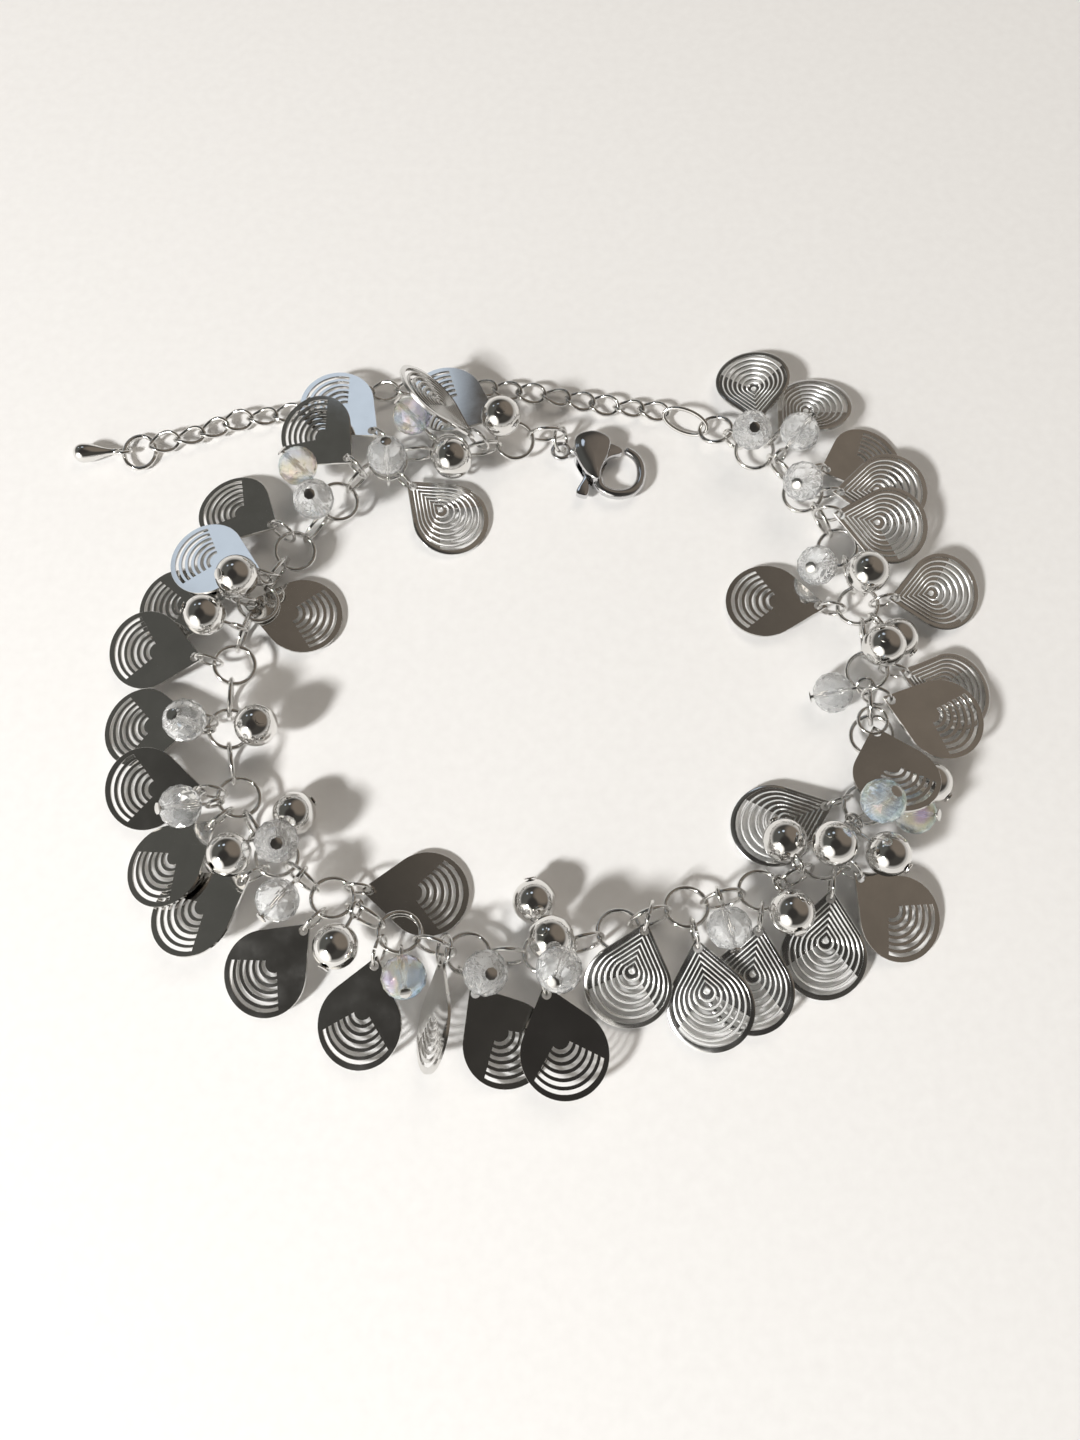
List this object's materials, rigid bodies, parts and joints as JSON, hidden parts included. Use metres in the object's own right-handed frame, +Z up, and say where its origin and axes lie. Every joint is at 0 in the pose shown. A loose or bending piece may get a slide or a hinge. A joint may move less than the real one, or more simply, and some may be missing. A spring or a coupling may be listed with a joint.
{
  "type": "fringe bracelet",
  "caption": "Fringe charm bracelet of polished steel links with thin teardrop charms, round beads and cut crystals, a lobster clasp and an extension chain, lying open in a ring.",
  "frame": {"origin": "centre of the plan outline, on the surface that the bracelet lies on", "axes": "+Z up from the surface; the clasp and the extension chain lie along the +Y side, and the extension chain's free end points towards -X"},
  "size_m": [0.0922, 0.076, 0.0108],
  "materials": {
    "polished_steel": "mirror-polished stainless steel",
    "beaded_chain": "mirror-polished steel links and beads, with clear cut crystals among them",
    "charm_plain": "flat mirror-polished sheet with open crescent slots",
    "charm_ridged": "polished sheet with raised nested teardrop ridges"
  },
  "bodies": {
    "bracelet": {"chain_1": "beaded_chain", "chain_2": "beaded_chain", "chain_3": "beaded_chain", "chain_4": "beaded_chain", "chain_5": "beaded_chain", "chain_6": "beaded_chain", "chain_7": "beaded_chain", "chain_8": "beaded_chain", "chain_9": "beaded_chain", "chain_10": "beaded_chain", "charm_01_plain": "charm_plain", "charm_02_plain": "charm_plain", "charm_03_ridged": "charm_ridged", "charm_04_plain": "charm_plain", "charm_05_plain": "charm_plain", "charm_06_plain": "charm_plain", "charm_07_plain": "charm_plain", "charm_08_plain": "charm_plain", "charm_09_plain": "charm_plain", "charm_10_plain": "charm_plain", "charm_11_plain": "charm_plain", "charm_12_plain": "charm_plain", "charm_13_plain": "charm_plain", "charm_14_plain": "charm_plain", "charm_15_plain": "charm_plain", "charm_16_plain": "charm_plain", "charm_17_plain": "charm_plain", "charm_18_plain": "charm_plain", "charm_19_plain": "charm_plain", "charm_20_plain": "charm_plain", "charm_21_ridged": "charm_ridged", "charm_22_ridged": "charm_ridged", "charm_23_ridged": "charm_ridged", "charm_24_ridged": "charm_ridged", "charm_25_plain": "charm_plain", "charm_26_ridged": "charm_ridged", "charm_27_plain": "charm_plain", "charm_28_ridged": "charm_ridged", "charm_29_ridged": "charm_ridged", "charm_30_ridged": "charm_ridged", "charm_31_ridged": "charm_ridged", "charm_32_plain": "charm_plain", "charm_33_ridged": "charm_ridged", "charm_34_ridged": "charm_ridged", "charm_35_plain": "charm_plain", "charm_36_plain": "charm_plain", "clasp_body": "polished_steel", "clasp_jump_ring": "polished_steel", "end_jump_ring": "polished_steel", "end_ring": "polished_steel", "oval_link": "polished_steel", "tail_ring": "polished_steel", "extension_chain": "polished_steel", "tail_drop": "polished_steel"},
    "clasp_lever": {"clasp_lever": "polished_steel"}
  },
  "joints": [
    {"name": "clasp_lever_hinge", "type": "hinge", "parent": "bracelet", "child": "clasp_lever", "pos_m": [0.00791, 0.02473, 0.0012], "axis": [0, 0, -1], "range_deg": [0, 30], "stiffness_Nm_per_rad": 0.002}
  ]
}
